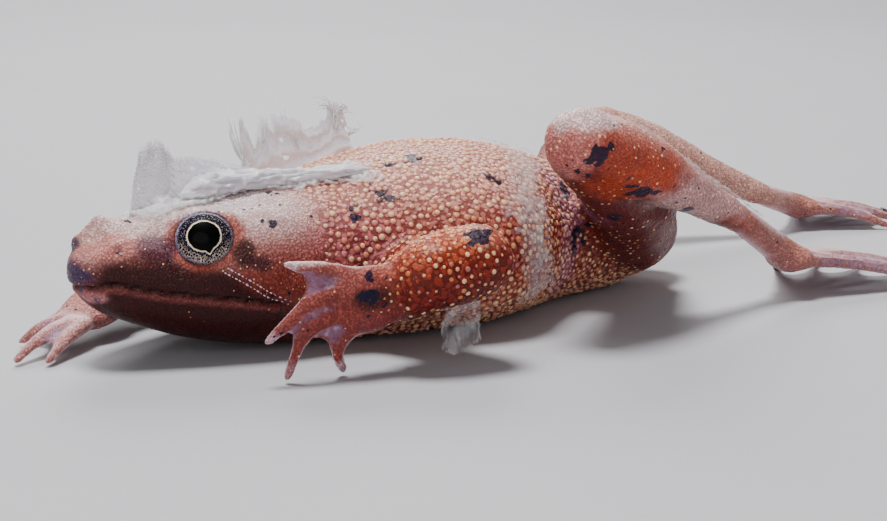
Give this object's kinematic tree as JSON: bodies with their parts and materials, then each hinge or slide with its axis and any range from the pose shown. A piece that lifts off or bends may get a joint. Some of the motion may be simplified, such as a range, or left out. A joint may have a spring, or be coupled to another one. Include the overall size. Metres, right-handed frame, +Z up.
{
  "type": "african dwarf frog",
  "caption": "Small aquatic frog lying on its belly with webbed hands and feet spread, one leg folded, and thin shed skin peeling off its head, back and elbow",
  "frame": {"origin": "on the floor, under the centre of the whole frog's bounding box", "axes": "+X runs from the snout to the feet, -Y is the frog's left side, +Z is up"},
  "size_m": [0.0678, 0.0242, 0.0114],
  "materials": {
    "back skin": "moist warty skin, orange to maroon",
    "throat skin": "moist maroon-brown skin with fine pits",
    "eye": "wet, glossy",
    "shed skin": "thin, pale and translucent"
  },
  "bodies": {
    "root": {"head": "back skin", "torso": "back skin", "left_upper_arm": "back skin", "left_forearm": "back skin", "left_hand": "back skin", "right_upper_arm": "back skin", "right_forearm": "back skin", "right_hand": "back skin", "left_thigh": "back skin", "left_shank": "back skin", "left_foot": "back skin", "right_thigh": "back skin", "right_shank": "back skin", "right_foot": "back skin", "lower_jaw": "throat skin", "left_eye": "eye", "right_eye": "eye", "moult_fold": "shed skin", "moult_crest": "shed skin", "moult_head": "shed skin", "moult_elbow": "shed skin"}
  },
  "joints": []
}
